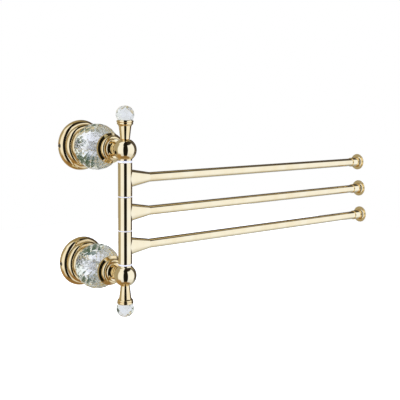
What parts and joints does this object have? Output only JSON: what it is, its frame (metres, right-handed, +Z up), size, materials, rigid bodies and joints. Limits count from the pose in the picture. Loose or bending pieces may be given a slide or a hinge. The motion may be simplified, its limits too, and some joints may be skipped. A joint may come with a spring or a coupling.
{
  "type": "swing arm towel bar",
  "caption": "Wall-mounted towel holder with thin round arms that swing about one upright pivot, carried by turned gold brackets with cut crystal balls and crystal finials.",
  "frame": {"origin": "on the wall plane, midway between the axes of the two brackets", "axes": "+X along the arms at rest, +Y into the wall, +Z up; the product stands out towards -Y"},
  "size_m": [0.4089, 0.1064, 0.219],
  "materials": {
    "gold": "polished gold plate",
    "crystal": "clear diamond-cut crystal",
    "nylon": "smooth white nylon",
    "gasket": "soft plastic with a silvered face",
    "steel": "zinc plated",
    "screw_steel": "dark hardened steel"
  },
  "bodies": {
    "brackets": {"upper_wall_plate": "steel", "upper_rosette": "gold", "upper_rosette_grub_screw": "screw_steel", "upper_clamp_nut": "steel", "upper_clamp_washer": "steel", "upper_tie_rod": "steel", "upper_rear_gasket": "gasket", "upper_crystal_ball": "crystal", "upper_front_gasket": "gasket", "upper_collar": "gold", "upper_knuckle": "gold", "upper_knuckle_grub_screw": "screw_steel", "upper_finial_stem": "gold", "upper_finial_crystal": "crystal", "lower_wall_plate": "steel", "lower_rosette": "gold", "lower_rosette_grub_screw": "screw_steel", "lower_clamp_nut": "steel", "lower_clamp_washer": "steel", "lower_tie_rod": "steel", "lower_rear_gasket": "gasket", "lower_crystal_ball": "crystal", "lower_front_gasket": "gasket", "lower_collar": "gold", "lower_knuckle": "gold", "lower_knuckle_grub_screw": "screw_steel", "lower_finial_stem": "gold", "lower_finial_crystal": "crystal", "pivot_rod": "steel", "top_washer": "nylon", "upper_middle_washer": "nylon", "lower_middle_washer": "nylon", "bottom_washer": "nylon"},
    "top_arm": {"top_arm_hub": "gold", "top_arm_lower_bush": "nylon", "top_arm_upper_bush": "nylon", "top_arm_tube": "gold", "top_arm_end_cap": "gold"},
    "middle_arm": {"middle_arm_hub": "gold", "middle_arm_lower_bush": "nylon", "middle_arm_upper_bush": "nylon", "middle_arm_tube": "gold", "middle_arm_end_cap": "gold"},
    "bottom_arm": {"bottom_arm_hub": "gold", "bottom_arm_lower_bush": "nylon", "bottom_arm_upper_bush": "nylon", "bottom_arm_tube": "gold", "bottom_arm_end_cap": "gold"}
  },
  "joints": [
    {"name": "top_arm_swing", "type": "hinge", "parent": "brackets", "child": "top_arm", "pos_m": [0, -0.092, 0], "axis": [0, 0, -1], "range_deg": [-11, 191]},
    {"name": "middle_arm_swing", "type": "hinge", "parent": "brackets", "child": "middle_arm", "pos_m": [0, -0.092, 0], "axis": [0, 0, -1], "range_deg": [-11, 191]},
    {"name": "bottom_arm_swing", "type": "hinge", "parent": "brackets", "child": "bottom_arm", "pos_m": [0, -0.092, 0], "axis": [0, 0, -1], "range_deg": [-11, 191]}
  ]
}
